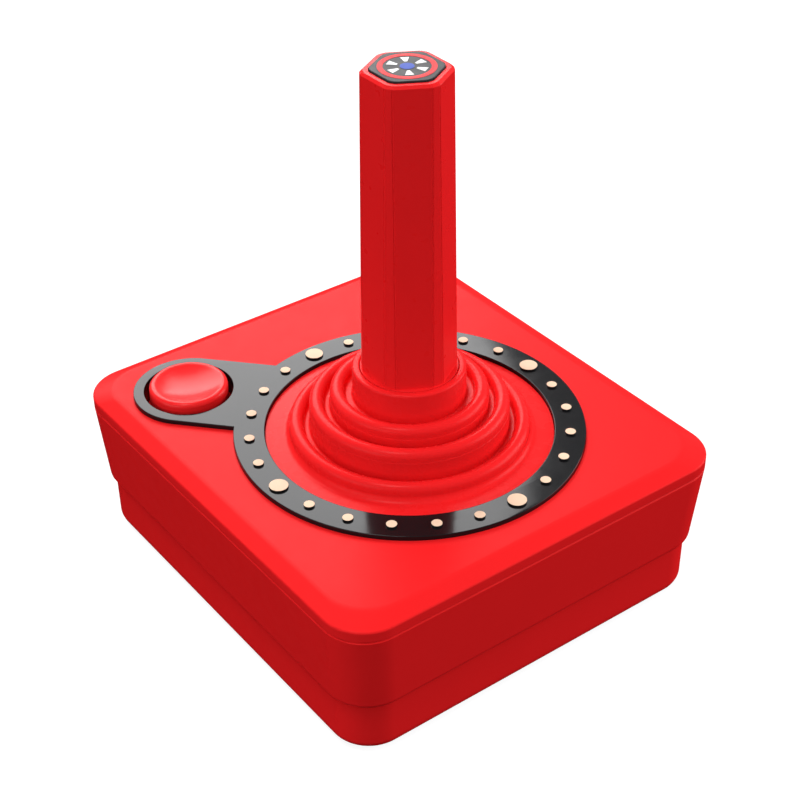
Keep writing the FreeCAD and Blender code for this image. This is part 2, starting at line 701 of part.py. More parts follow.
def make_upper_shell():
    body = new_body("upper_shell")
    corner = D.corner_round
    loft(
        body,
        case_plan(body, D.upper_taper, corner, STEP),
        case_plan(body, 0, corner, SEAM - D.seam_chamfer),
        case_plan(body, D.seam_chamfer, corner, SEAM),
    )
    room = case_plan(body, D.upper_taper + D.upper_wall, corner - D.upper_wall, DECK_LOW)
    pocket_down(body, room, DECK_LOW - STEP)
    guide_bore = D.button_radius + D.button_guide
    button = [(BUTTON_X, BUTTON_Y)]
    rods(body, button, guide_bore + D.guide_wall, D.guide_low, GUIDE_LOW, POST_SIDES)
    rods(body, case_posts(), D.boss_radius, SEAM - STEP, STEP, POST_SIDES)
    boss_high = SEAM - BUTTON_BOARD_TOP
    rods(body, button_bosses(), D.button_boss, boss_high, BUTTON_BOARD_TOP, SMALL_SIDES)
    stick = [(D.stick_x, D.stick_y)]
    holes(body, stick, D.deck_opening, D.deck_thick, DECK_LOW, POST_SIDES)
    holes(body, button, guide_bore, D.guide_low, GUIDE_LOW)
    hole = CASE_SCREW_SEAT + D.case_screw_long - STEP + D.screw_fit
    holes(body, case_posts(), D.case_screw_radius + D.screw_fit, hole, STEP, POST_SIDES)
    small = D.small_screw_radius + D.screw_fit
    hole = D.small_screw_long - D.board_thick + D.screw_fit
    holes(body, button_bosses(), small, hole, BUTTON_BOARD_TOP, SMALL_SIDES)
    holes(body, lid_bosses(), D.lid_boss + D.fit_gap, D.deck_thick, DECK_LOW, SMALL_SIDES)
    hole = D.small_screw_long - D.frame_thick + D.screw_fit
    holes(body, frame_bolts(D.stick_x, D.stick_y), small, hole, DECK_LOW, SMALL_SIDES)
    return body


def make_top_lid():
    body = new_body("top_lid")
    corner = D.corner_round
    loft(
        body,
        case_plan(body, 0, corner, SEAM),
        case_plan(body, 0, corner, LID_EDGE - D.lid_edge),
        case_plan(body, D.lid_edge, corner, LID_EDGE),
        case_plan(body, D.lid_margin, corner, LID_TOP),
    )
    stick = [(D.stick_x, D.stick_y)]
    holes(body, stick, LID_OPENING, D.lid_height, SEAM, POST_SIDES)
    seat = (FLANGE_OUTER + D.fit_gap) / cosine(180 / SEAT_SIDES)
    holes(body, stick, seat, LID_TOP - FLANGE_SEAT, FLANGE_SEAT, SEAT_SIDES)
    sink = D.trim_sunk
    rod(body, D.trim_outer + D.fit_gap, sink, D.stick_x, D.stick_y, TRIM_LOW, cut=True)
    rod(body, D.arm_radius + D.fit_gap, sink, BUTTON_X, BUTTON_Y, TRIM_LOW, cut=True)
    arm = block(body, ARM_LENGTH, (D.arm_radius + D.fit_gap) * 2, sink, cut=True)
    turn_arm(arm, D.arm_radius + D.fit_gap, BUTTON_X, BUTTON_Y, TRIM_LOW)
    holes(body, [(BUTTON_X, BUTTON_Y)], LID_BUTTON_HOLE, D.lid_height, SEAM, POST_SIDES)
    peg_hole = D.peg_radius + D.fit_gap / 2
    peg_low = TRIM_LOW - D.peg_length
    holes(body, pegs(D.stick_x, D.stick_y), peg_hole, D.peg_length, peg_low, SMALL_SIDES)
    rods(body, lid_bosses(), D.lid_boss, D.deck_thick, DECK_LOW, SMALL_SIDES)
    small = D.small_screw_radius + D.screw_fit
    depth = D.small_screw_long + D.screw_fit
    holes(body, lid_bosses(), small, depth, DECK_LOW, SMALL_SIDES)
    return body


def turn_arm(arm, half_width, x, y, z):
    """Lay a box along the arm's direction, with its middle line on x, y."""
    arm.Placement = FreeCAD.Placement(V(), FreeCAD.Rotation(V(0, 0, 1), D.arm_turn.number))
    bind(
        arm,
        Placement__Rotation__Angle=D.arm_turn,
        Placement__Base__x=x + half_width * sine(D.arm_turn),
        Placement__Base__y=y - half_width * cosine(D.arm_turn),
        Placement__Base__z=z,
    )


def make_trim_plate():
    body = stick_body("trim_plate")
    arm_x = BUTTON_X - D.stick_x
    arm_y = BUTTON_Y - D.stick_y
    rod(body, D.trim_outer, D.trim_thick, 0, 0, TRIM_LOW)
    rod(body, D.arm_radius, D.trim_thick, arm_x, arm_y, TRIM_LOW)
    arm = block(body, ARM_LENGTH, D.arm_radius * 2, D.trim_thick)
    turn_arm(arm, D.arm_radius, arm_x, arm_y, TRIM_LOW)
    rod(body, TRIM_INNER, D.trim_thick, 0, 0, TRIM_LOW, cut=True)
    skirt_low = SEAM + D.skirt_gap
    skirt = LID_BUTTON_HOLE - D.fit_gap
    rods(body, [(arm_x, arm_y)], skirt, TRIM_LOW - skirt_low, skirt_low, POST_SIDES)
    rod(body, BUTTON_WINDOW, TRIM_TOP - skirt_low, arm_x, arm_y, skirt_low, cut=True)
    height = D.trim_thick + D.stud_height
    quarter = STUD_COUNT // LARGE_STUD_EVERY
    small = [stud_place(index) for index in range(1, LARGE_STUD_EVERY)]
    around(body, rods(body, small, D.stud_small, height, TRIM_LOW, SMALL_STUD_SIDES), quarter)
    large = [stud_place(0)]
    around(body, rods(body, large, D.stud_large, height, TRIM_LOW, LARGE_STUD_SIDES), quarter)
    rods(body, pegs(), D.peg_radius, D.peg_length, TRIM_LOW - D.peg_length, SMALL_SIDES)
    return body


def stud_place(index):
    angle = D.stud_turn + index * 360 / STUD_COUNT
    return STUD_CIRCLE * cosine(angle), STUD_CIRCLE * sine(angle)


def folds():
    """Outer radius and top of each fold, from the outside in."""
    crests = (D.crest_one, D.crest_two, D.crest_three)
    return [(D.fold_one - D.fold_pitch * index, crest) for index, crest in enumerate(crests)]


def boot_section():
    """Half section of the bellows: three ribbed folds on a stepped wall, flange and collar."""
    outer = []
    inner = []
    level = TRIM_LOW
    inner_level = FLANGE_SEAT
    for radius, crest in folds():
        top = TRIM_LOW + crest
        crease = top - D.crease_depth
        roof = crease - D.crease_wall
        outer += [(radius, level), (radius, top - D.fold_bevel)]
        outer += [(radius - D.fold_bevel, top), (radius - D.fold_width, top)]
        inner += [(radius - D.boot_wall, inner_level), (radius - D.boot_wall, roof)]
        level = crease
        inner_level = roof
    bore = D.grip_root + D.boot_gap
    outer += [(COLLAR_RADIUS, level), (COLLAR_RADIUS, COLLAR_TOP), (bore, COLLAR_TOP)]
    inner += [(bore, inner_level)]
    rim = [(FLANGE_OUTER, FLANGE_SEAT), (FLANGE_OUTER, TRIM_LOW)]
    return rim + outer + inner[::-1]


def make_boot():
    body = stick_body("boot")
    turn(body, boot_section())
    return body


def hexagon(body, flats, level):
    return polygon(sketch_on(body, "XY_Plane", level), hex_points(flats, D.corner_strip))


def make_grip():
    body = stick_body("grip")
    root_low = COLLAR_TOP - D.grip_root_depth
    bevel_low = GRIP_TOP - D.grip_edge
    foot = COLLAR_TOP - D.boot_gap
    loft(body, hexagon(body, D.grip_flat_low, foot), hexagon(body, D.grip_flat_high, bevel_low))
    bevelled = D.grip_flat_high - D.grip_edge * 2
    loft(body, hexagon(body, D.grip_flat_high, bevel_low), hexagon(body, bevelled, GRIP_TOP))
    middle = [(0, 0)]
    rods(body, middle, D.grip_root, D.grip_root_depth - D.boot_gap, root_low, POST_SIDES)
    bore = D.core_radius + D.core_fit
    holes(body, middle, bore, CORE_TOP - root_low + D.core_fit, root_low, POST_SIDES)
    seat_flats = D.grip_flat_high - D.cap_inset * 2 + D.core_fit * 2
    pocket_down(body, hexagon(body, seat_flats, GRIP_TOP), D.cap_sunk)
    return body


def make_grip_cap():
    body = stick_body("grip_cap")
    flats = D.grip_flat_high - D.cap_inset * 2
    pad(body, hexagon(body, flats, GRIP_TOP - D.cap_sunk), D.cap_sunk + D.cap_proud)
    top = GRIP_TOP + D.cap_proud
    dress(body, "Chamfer", D.cap_bevel, lambda edge: at_level(edge, top))
    return body


def make_stick_core():
    body = stick_body("stick_core")
    block(body, D.hub_wide, D.hub_deep, D.hub_high, 0, 0, PIVOT - D.hub_high / 2)
    middle = [(0, 0)]
    rods(body, middle, D.core_radius, CORE_TOP - PIVOT, PIVOT, POST_SIDES)
    rods(body, middle, D.core_foot, PIVOT - ACTUATOR_TOP, ACTUATOR_TOP, POST_SIDES)
    bore = D.pin_radius + D.pin_running
    rod(body, bore, D.hub_deep, 0, -D.hub_deep / 2, PIVOT, along="Y", cut=True)
    screw_hole = D.small_screw_long - D.actuator_thick + D.screw_fit
    small = D.small_screw_radius + D.screw_fit
    holes(body, middle, small, screw_hole, ACTUATOR_TOP, SMALL_SIDES)
    return body


def make_actuator():
    body = stick_body("switch_actuator")
    low = ACTUATOR_LOW
    rods(body, [(0, 0)], D.actuator_hub, D.actuator_thick, low, POST_SIDES)
    block(body, ACTUATOR_REACH * 2, D.actuator_wide, D.actuator_thick, 0, 0, low)
    block(body, D.actuator_wide, ACTUATOR_REACH * 2, D.actuator_thick, 0, 0, low)
    small = D.small_screw_radius + D.screw_fit
    holes(body, [(0, 0)], small, D.actuator_thick, low, SMALL_SIDES)
    return body


def make_gimbal_ring():
    body = stick_body("gimbal_ring")
    low = PIVOT - D.ring_high / 2
    plan = bevelled_plan(body, RING_OUTER_WIDE, RING_OUTER_DEEP, D.ring_corner, low)
    pad(body, plan, D.ring_high)
    block(body, RING_INNER_WIDE, RING_INNER_DEEP, D.ring_high, 0, 0, low, cut=True)
    running = D.pin_radius + D.pin_running
    pressed = D.pin_radius + D.pin_press
    half_wide = RING_OUTER_WIDE / 2
    half_deep = RING_OUTER_DEEP / 2
    rod(body, running, RING_OUTER_WIDE, -half_wide, 0, PIVOT, along="X", cut=True)
    rod(body, pressed, RING_OUTER_DEEP, 0, -half_deep, PIVOT, along="Y", cut=True)
    return body


def make_gimbal_pins():
    body = stick_body("gimbal_pins")
    start = RING_INNER_WIDE / 2 + D.pin_back
    end = RING_OUTER_WIDE / 2 + D.ear_gap + D.ear_thick
    rod(body, D.pin_radius, end - start, start, 0, PIVOT, along="X")
    rod(body, D.pin_radius, end - start, -end, 0, PIVOT, along="X")
    return body


def make_stick_pin():
    body = stick_body("stick_pin")
    half = RING_OUTER_DEEP / 2
    rod(body, D.pin_radius, half * 2, 0, -half, PIVOT, along="Y")
    return body


def make_pivot_frame():
    body = stick_body("pivot_frame")
    low = DECK_LOW - D.frame_thick
    plan = bevelled_plan(body, FRAME_SIZE, FRAME_SIZE, D.ring_corner, low)
    pad(body, plan, D.frame_thick)
    ear_in = RING_OUTER_WIDE / 2 + D.ear_gap
    window_deep = RING_OUTER_DEEP + D.window_room * 2
    block(body, ear_in * 2 - D.ear_gap, window_deep, D.frame_thick, 0, 0, low, cut=True)
    ear_high = DECK_LOW - PIVOT + D.ear_half
    pressed = D.pin_radius + D.pin_press
    for start in (ear_in, -ear_in - D.ear_thick):
        middle = start + D.ear_thick / 2
        block(body, D.ear_thick, D.ear_half * 2, ear_high, middle, 0, PIVOT - D.ear_half)
        rod(body, pressed, D.ear_thick, start, 0, PIVOT, along="X", cut=True)
    small = D.small_screw_radius + D.screw_fit
    holes(body, frame_bolts(), small, D.frame_thick, low, SMALL_SIDES)
    return body


def make_fire_button():
    body = button_body("fire_button")
    lip = D.button_lip
    turn(body, [
        (0, BUTTON_TOP - D.dish_depth), (0, STOP_LOW), (D.button_radius, STOP_LOW),
        (D.button_radius, BUTTON_TOP - lip), (D.button_radius - lip, BUTTON_TOP),
        (D.dish_radius, BUTTON_TOP),
    ])
    middle = [(0, 0)]
    rods(body, middle, D.stop_radius, D.stop_thick, STOP_LOW, POST_SIDES)
    under = BUTTON_TOP - D.button_crown
    hollow = D.button_radius - D.button_skirt
    holes(body, middle, hollow, under - STOP_LOW, STOP_LOW, POST_SIDES)
    stem_low = FIRE_SWITCH_TOP + D.button_travel + D.switch_clear
    rods(body, middle, D.stem_radius, under - stem_low, stem_low, SMALL_SIDES)
    return body


def make_button_spring():
    """A bent steel leaf: a base round the switch, and two arms under the button's flange."""
    body = button_body("button_spring")
    low = BUTTON_BOARD_TOP
    high = STOP_LOW - D.leaf_rest
    thick = D.leaf_thick
    knee = D.leaf_reach - D.leaf_tip
    right = [
        (D.leaf_base, low), (knee + thick / 2, high - thick), (D.leaf_reach, high - thick),
        (D.leaf_reach, high), (knee, high), (D.leaf_base - thick / 2, low + thick),
    ]
    left = [(-x, z) for x, z in right[::-1]]
    profile = polygon(sketch_on(body, "XZ_Plane", -D.leaf_arm_wide / 2), right + left)
    pad(body, profile, D.leaf_arm_wide)
    block(body, D.leaf_base * 2, D.leaf_base_wide, thick, 0, 0, low)
    window = D.switch_size + D.leaf_window * 2
    block(body, window, window, thick, 0, 0, low, cut=True)
    return body


def make_button_board():
    """A strap on the diagonal between its two bosses, wider under the switch."""
    body = new_body("button_board")
    low = BUTTON_BOARD_LOW
    middle = [(BUTTON_X, BUTTON_Y)]
    rods(body, middle, D.button_board_middle, D.board_thick, low, POST_SIDES)
    strap = block(body, D.button_boss_reach * 2, D.button_board_end * 2, D.board_thick)
    strap.Placement = FreeCAD.Placement(V(), FreeCAD.Rotation(V(0, 0, 1), 45))
    half_long = D.button_boss_reach
    half_wide = D.button_board_end
    bind(
        strap,
        Placement__Base__x=BUTTON_X - (half_long - half_wide) * cosine(45),
        Placement__Base__y=BUTTON_Y - (half_long + half_wide) * cosine(45),
        Placement__Base__z=low,
    )
    rods(body, button_bosses(), D.button_board_end, D.board_thick, low, POST_SIDES)
    small = D.small_screw_radius + D.screw_fit
    holes(body, button_bosses(), small, D.board_thick, low, SMALL_SIDES)
    return body


def add_switch(body, x, y, low):
    block(body, D.switch_size, D.switch_size, D.switch_body, x, y, low)
    high = D.switch_body + D.plunger_high
    rods(body, [(x, y)], D.plunger_radius, high, low, SMALL_SIDES)


def make_fire_switch():
    body = button_body("fire_switch")
    add_switch(body, 0, 0, BUTTON_BOARD_TOP)
    return body


def make_direction_switches():
    body = stick_body("direction_switches")
    for angle in (0, 90, 180, 270):
        across = round(math.cos(math.radians(angle)))
        along = round(math.sin(math.radians(angle)))
        add_switch(body, D.switch_reach * across, D.switch_reach * along, BOARD_TOP)
    return body


def make_main_board():
    body = new_body("main_board")
    middle = (BOARD_FRONT + BOARD_BACK) / 2
    plan = bevelled_plan(body, BOARD_WIDE, BOARD_BACK - BOARD_FRONT, D.board_corner, BOARD_LOW)
    bind(plan, AttachmentOffset__Base__y=middle)
    pad(body, plan, D.board_thick)
    small = D.small_screw_radius + D.screw_fit
    holes(body, board_bolts(), small, D.board_thick, BOARD_LOW, SMALL_SIDES)
    return body


def make_battery():
    body = new_body("battery", D.battery_x, BATTERY_Y)
    block(body, D.battery_long, D.battery_wide, D.battery_high, 0, 0, BOARD_TOP + D.pad_thick)
    dress(body, "Fillet", D.battery_round, lambda edge: abs(edge.tangentAt(0).x) > 0.9)
    return body


def make_battery_pad():
    body = new_body("battery_pad", D.battery_x, BATTERY_Y)
    wide = D.battery_long - D.battery_round * 2
    deep = D.battery_wide - D.battery_round * 4
    block(body, wide, deep, D.pad_thick, 0, 0, BOARD_TOP)
    return body


def make_charge_socket():
    """A drawn metal shell with a flat tongue inside, open to the back."""
    back = D.case_depth / 2 - UNDER_INSET - D.socket_recess
    body = new_body("charge_socket", D.battery_x, back)
    middle = -D.socket_long / 2
    block(body, D.socket_wide, D.socket_long, D.socket_high, 0, middle, BOARD_TOP)
    dress(
        body, "Fillet", D.socket_high / 3,
        lambda edge: abs(edge.tangentAt(0).y) > 0.9,
    )
    room_wide = D.socket_wide - D.socket_wall * 2
    room_high = D.socket_high - D.socket_wall * 2
    room_long = D.socket_long - D.socket_wall * 2
    block(body, room_wide - D.socket_high / 3, room_long, room_high, 0,
          -room_long / 2, BOARD_TOP + D.socket_wall, cut=True)
    tongue_high = room_high / 4
    tongue_low = BOARD_TOP + D.socket_high / 2 - tongue_high / 2
    block(body, room_wide / 1.5, room_long, tongue_high, 0, middle - D.socket_wall, tongue_low)
    return body


def make_chip():
    body = new_body("controller_chip", CHIP_X, BATTERY_Y)
    block(body, D.chip_size, D.chip_size, D.chip_high, 0, 0, BOARD_TOP)
    top = BOARD_TOP + D.chip_high
    dress(body, "Chamfer", D.chip_high / 5, lambda edge: at_level(edge, top))
    return body


def small_screws(body, places, seat, up):
    screws(body, places, seat, up, D.small_screw_radius, D.small_screw_long,
           D.small_screw_head, D.small_screw_head_high, SMALL_SIDES)
    return body


def make_screws():
    case = new_body("case_screws")
    screws(case, case_posts(), CASE_SCREW_SEAT, True, D.case_screw_radius, D.case_screw_long,
           D.case_screw_head, D.case_screw_head_high, POST_SIDES)
    frame_low = DECK_LOW - D.frame_thick
    button_low = BUTTON_BOARD_LOW
    return [
        case,
        small_screws(new_body("board_screws"), board_bolts(), BOARD_TOP, False),
        small_screws(new_body("lid_screws"), lid_bosses(), DECK_LOW, True),
        small_screws(stick_body("frame_screws"), frame_bolts(), frame_low, True),
        small_screws(new_body("button_board_screws"), button_bosses(), button_low, True),
        small_screws(stick_body("actuator_screw"), [(0, 0)], ACTUATOR_LOW, True),
    ]


def make_feet():
    body = new_body("rubber_feet")
    rods(body, foot_places(), D.foot_radius, D.foot_proud + D.foot_seat, 0, FOOT_SIDES)
    return body


pieces = [
    make_lower_shell(), make_upper_shell(), make_top_lid(), make_trim_plate(), make_boot(),
    make_grip(), make_grip_cap(), make_stick_core(), make_actuator(), make_gimbal_ring(),
    make_gimbal_pins(), make_stick_pin(), make_pivot_frame(), make_fire_button(),
    make_button_spring(), make_button_board(), make_fire_switch(), make_direction_switches(),
    make_main_board(), make_battery(), make_battery_pad(), make_charge_socket(), make_chip(),
    make_feet(),
] + make_screws()
doc.recompute()

for thing in doc.Objects:
    if "Invalid" in thing.State or "Error" in thing.State:
        raise RuntimeError(f"{thing.Name} did not build: {thing.State}")

os.makedirs("parts", exist_ok=True)
for piece in pieces:
    shape = piece.Shape
    if shape.isNull() or not shape.isValid() or not shape.Solids:
        raise RuntimeError(f"{piece.Label} has no valid solid")
    shape.exportStep(f"parts/{piece.Label}.step")
    box = shape.BoundBox
    print(f"{piece.Label}: {len(shape.Solids)} solids, {shape.Volume:.1f} mm3, "
          f"z {box.ZMin:.2f} to {box.ZMax:.2f}")
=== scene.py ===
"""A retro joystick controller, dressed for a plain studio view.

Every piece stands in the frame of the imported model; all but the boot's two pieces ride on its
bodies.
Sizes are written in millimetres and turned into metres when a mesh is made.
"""
import math

import bmesh
import bpy
from mathutils import Matrix, Vector


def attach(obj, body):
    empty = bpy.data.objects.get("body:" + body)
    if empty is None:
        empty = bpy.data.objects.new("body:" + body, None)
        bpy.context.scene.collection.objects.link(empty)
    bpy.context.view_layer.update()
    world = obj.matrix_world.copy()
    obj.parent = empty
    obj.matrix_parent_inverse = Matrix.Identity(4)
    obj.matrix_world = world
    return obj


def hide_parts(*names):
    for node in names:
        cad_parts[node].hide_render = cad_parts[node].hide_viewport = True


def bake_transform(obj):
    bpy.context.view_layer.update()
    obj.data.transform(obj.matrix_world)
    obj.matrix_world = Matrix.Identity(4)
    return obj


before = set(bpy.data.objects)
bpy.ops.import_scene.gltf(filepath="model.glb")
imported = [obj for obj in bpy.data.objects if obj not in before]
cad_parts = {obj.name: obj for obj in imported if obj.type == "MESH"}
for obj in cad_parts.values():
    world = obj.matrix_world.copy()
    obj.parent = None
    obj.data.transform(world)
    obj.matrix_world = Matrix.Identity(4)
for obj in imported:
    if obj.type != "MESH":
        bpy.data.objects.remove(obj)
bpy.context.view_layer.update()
scene = bpy.context.scene
MM = 0.001

# The view, in the part's own frame.
CAMERA_AT = Vector((-163.92, -225.28, 234.44)) * MM
VIEW_RIGHT = Vector((0.801096, -0.598470, -0.008884))
VIEW_UP = Vector((0.351197, 0.457982, 0.816648))
VIEW_BACK = Vector((-0.484670, -0.657333, 0.577068))
FOCAL_PIXELS = 1696.118
IMAGE_PIXELS = 800
SENSOR = 36.0
CLIP_START = 0.01

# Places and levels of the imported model.
STICK = (0.0, -6.1)
BUTTON = (-28.65, 31.4)
BOTTOM = 0.8
STEP = 12.5
SEAM = 30.6
LID_TOP = 34.3
PLATE_LOW = 33.75
PLATE_TOP = 35.25
GRIP_LOW = 49.35
GRIP_HIGH = 111.6
CAP_LOW = 110.4
CAP_TOP = 112.0

# How finely meshes are made, and which of their edges count.
TURN_STEPS = 160
ON_AXIS = 1e-6
WELD = 0.0005
FLAT_ANGLE = math.radians(0.05)
BEND_ANGLE = math.radians(8)
SHARP_ANGLE = math.radians(32)


def add_camera():
    """The camera that sees the part as the photograph does."""
    data = bpy.data.cameras.new("photo_view")
    camera = bpy.data.objects.new("photo_view", data)
    scene.collection.objects.link(camera)
    data.sensor_width = SENSOR
    data.lens = SENSOR * FOCAL_PIXELS / IMAGE_PIXELS
    data.clip_start = CLIP_START
    turn = Matrix((VIEW_RIGHT, VIEW_UP, VIEW_BACK)).transposed()
    camera.matrix_world = Matrix.Translation(CAMERA_AT) @ turn.to_4x4()
    scene.camera = camera


# Materials.

NOISE_LOW = 0.3
NOISE_HIGH = 0.7
GLOSS_FINER = 4
GRAIN_HEIGHT = 0.05


def link(tree, source, output, target, socket):
    """Join one node's output to another node's input."""
    tree.links.new(source.outputs[output], target.inputs[socket])


def noise(tree, scale, detail=2.0):
    """A noise texture in the part's own coordinates, in features per metre."""
    place = tree.nodes.new("ShaderNodeTexCoord")
    texture = tree.nodes.new("ShaderNodeTexNoise")
    texture.inputs["Scale"].default_value = scale
    texture.inputs["Detail"].default_value = detail
    link(tree, place, "Object", texture, "Vector")
    return texture


def ramp(tree, texture, low, high):
    """Spread a noise's middle range over low to high."""
    spread = tree.nodes.new("ShaderNodeMapRange")
    spread.inputs["From Min"].default_value = NOISE_LOW
    spread.inputs["From Max"].default_value = NOISE_HIGH
    spread.inputs["To Min"].default_value = low
    spread.inputs["To Max"].default_value = high
    link(tree, texture, "Fac", spread, "Value")
    return spread


def tint(tree, factor, first, second):
    """Mix two colours by a factor."""
    mix = tree.nodes.new("ShaderNodeMix")
    mix.data_type = "RGBA"
    mix.inputs["A"].default_value = (*first, 1)
    mix.inputs["B"].default_value = (*second, 1)
    link(tree, factor, "Result", mix, "Factor")
    return mix


def finish_of(name, color, roughness, specular=0.5, metallic=0.0, cloud=0.02,
              cloud_scale=90.0, grain=0.008, grain_scale=2600.0, spread=0.03):
    """A moulded or metal surface: faint clouds of colour, uneven gloss and a fine grain."""
    material = bpy.data.materials.new(name)
    material.use_nodes = True
    tree = material.node_tree
    shader = tree.nodes["Principled BSDF"]
    shader.inputs["Metallic"].default_value = metallic
    shader.inputs["Specular IOR Level"].default_value = specular
    darker = tuple(part * (1 - cloud) for part in color)
    clouds = ramp(tree, noise(tree, cloud_scale), 0.0, 1.0)
    link(tree, tint(tree, clouds, color, darker), "Result", shader, "Base Color")
    gloss = ramp(tree, noise(tree, cloud_scale * GLOSS_FINER),
                 roughness - spread, roughness + spread)
    link(tree, gloss, "Result", shader, "Roughness")
    bump = tree.nodes.new("ShaderNodeBump")
    bump.inputs["Strength"].default_value = grain
    bump.inputs["Distance"].default_value = GRAIN_HEIGHT * MM
    link(tree, noise(tree, grain_scale), "Fac", bump, "Height")
    link(tree, bump, "Normal", shader, "Normal")
    return material


RED = (0.78, 0.013, 0.015)
CASE = finish_of("case_red", RED, 0.36, specular=0.036, grain=0.0)
BOOT = finish_of("boot_red", RED, 0.27, specular=0.055, grain=0.0)
GRIP = finish_of("grip_red", RED, 0.3, specular=0.06, grain=0.0)
KNOB = finish_of("button_red", RED, 0.24, specular=0.14, grain=0.0)
TRIM = finish_of("trim_black", (0.006, 0.006, 0.007), 0.1, specular=0.21, spread=0.012)
CREAM = finish_of("dot_cream", (0.75, 0.54, 0.39), 0.5, specular=0.06)
CAP = finish_of("cap_black", (0.02, 0.02, 0.022), 0.42, specular=0.14)
PRINT_RED = finish_of("print_red", (0.75, 0.03, 0.035), 0.45, specular=0.1)
PRINT_WHITE = finish_of("print_white", (0.82, 0.82, 0.8), 0.45, specular=0.1)
PRINT_BLUE = finish_of("print_blue", (0.04, 0.08, 0.4), 0.45, specular=0.1)
NYLON = finish_of("nylon", (0.84, 0.82, 0.75), 0.5)
FRAME_BLACK = finish_of("frame_black", (0.03, 0.03, 0.032), 0.5)
STEEL = finish_of("steel", (0.62, 0.62, 0.63), 0.28, metallic=1.0, grain=0.1)
BOARD = finish_of("board_green", (0.01, 0.09, 0.035), 0.35)
SWITCH = finish_of("switch_black", (0.02, 0.02, 0.02), 0.45)
FOIL = finish_of("battery_silver", (0.62, 0.63, 0.65), 0.35, metallic=1.0, grain=0.2)
FOAM = finish_of("pad_foam", (0.8, 0.8, 0.76), 0.9, grain=0.4, grain_scale=900.0)
SOCKET = finish_of("socket_metal", (0.66, 0.66, 0.68), 0.3, metallic=1.0)
CHIP = finish_of("chip_black", (0.018, 0.018, 0.02), 0.5)
RUBBER = finish_of("foot_rubber", (0.025, 0.025, 0.026), 0.75, grain=0.3)

NODE_FINISH = {
    "lower_shell": CASE, "upper_shell": CASE, "top_lid": CASE, "trim_plate": TRIM,
    "boot": BOOT, "grip": GRIP, "grip_cap": CAP, "fire_button": KNOB,
    "stick_core": NYLON, "switch_actuator": NYLON, "gimbal_ring": FRAME_BLACK,
    "gimbal_pins": STEEL, "stick_pin": STEEL, "pivot_frame": FRAME_BLACK,
    "button_spring": STEEL, "button_board": BOARD, "fire_switch": SWITCH,
    "direction_switches": SWITCH, "main_board": BOARD, "battery": FOIL,
    "battery_pad": FOAM, "charge_socket": SOCKET, "controller_chip": CHIP,
    "rubber_feet": RUBBER, "case_screws": STEEL, "board_screws": STEEL,
    "lid_screws": STEEL, "frame_screws": STEEL, "button_board_screws": STEEL,
    "actuator_screw": STEEL,
}


def dress_nodes():
    """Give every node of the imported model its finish."""
    for name, finish in NODE_FINISH.items():
        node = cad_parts[name]
        node.data.materials.clear()
        node.data.materials.append(finish)


# Ways to draw an outline.

def arc(centre, radius, start, end, steps):
    """Points along an arc, both ends included."""
    points = []
    for step in range(steps + 1):
        angle = start + (end - start) * step / steps
        points.append((centre[0] + radius * math.cos(angle),
                       centre[1] + radius * math.sin(angle)))
    return points


def circle(centre, radius, steps):
    """Points round a circle, the first one not repeated."""
    return arc(centre, radius, 0, 2 * math.pi, steps)[:-1]


def fillet(before, corner, after, radius, steps):
    """Points of an arc that rounds one corner of an outline."""
    corner = Vector(corner)
    back = (Vector(before) - corner).normalized()
    ahead = (Vector(after) - corner).normalized()
    half = back.angle(ahead) / 2
    reach = radius / math.tan(half)
    middle = corner + (back + ahead).normalized() * radius / math.sin(half)
    start = corner + back * reach - middle
    end = corner + ahead * reach - middle
    sweep = start.angle_signed(end)
    points = []
    for step in range(steps + 1):
        spoke = start.copy()
        spoke.rotate(Matrix.Rotation(-sweep * step / steps, 2))
        points.append(tuple(middle + spoke))
    return points


def outline(corners, closed=True, steps=6):
    """Corners are x, y and a rounding radius; the rounded outline's points come back."""
    points = []
    count = len(corners)
    for index, (x, y, radius) in enumerate(corners):
        ends = not closed and index in (0, count - 1)
        if radius == 0 or ends:
            points.append((x, y))
            continue
        before = corners[index - 1][:2]
        after = corners[(index + 1) % count][:2]
        points.extend(fillet(before, (x, y), after, radius, steps))
    return points


def washer(inner, outer, low, top):
    """The profile of a plain ring; with no inner radius, of a plain disc."""
    return [(inner, low), (outer, low), (outer, top), (inner, top)]


# Ways to make a mesh.

def new_object(name, mesh, finish):
    """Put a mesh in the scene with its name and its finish."""
    thing = bpy.data.objects.new(name, mesh)
    scene.collection.objects.link(thing)
    mesh.materials.append(finish)
    return thing


def smooth(mesh):
    """Shade a mesh smooth, apart from its sharp edges."""
    mesh.shade_smooth()
    mesh.set_sharp_from_angle(angle=SHARP_ANGLE)


def weigh_normals(thing):
    """Let the large faces keep their own normals, so that flat areas look flat."""
    weighted = thing.modifiers.new("weigh", "WEIGHTED_NORMAL")
    weighted.keep_sharp = True
    weighted.weight = 100


def mesh_of(shape, name):
    """Turn a shape into a smooth mesh with its faces outward, and free the shape."""
    bmesh.ops.recalc_face_normals(shape, faces=shape.faces)
    mesh = bpy.data.meshes.new(name)
    shape.to_mesh(mesh)
    shape.free()
    smooth(mesh)
    return mesh


def add_ring(shape, points, height, centre=(0.0, 0.0)):
    """New vertices at one height, for points that are counted from centre."""
    return [shape.verts.new(((centre[0] + x) * MM, (centre[1] + y) * MM, height * MM))
            for x, y in points]


def add_stack(shape, rings, centre=(0.0, 0.0)):
    """Join rings that have equal counts one above the other, and close both ends."""
    made = [add_ring(shape, points, height, centre) for points, height in rings]
    count = len(made[0])
    for low, high in zip(made, made[1:]):
        for step in range(count):
            after = (step + 1) % count
            shape.faces.new((low[step], low[after], high[after], high[step]))
    shape.faces.new(list(reversed(made[0])))
    shape.faces.new(made[-1])


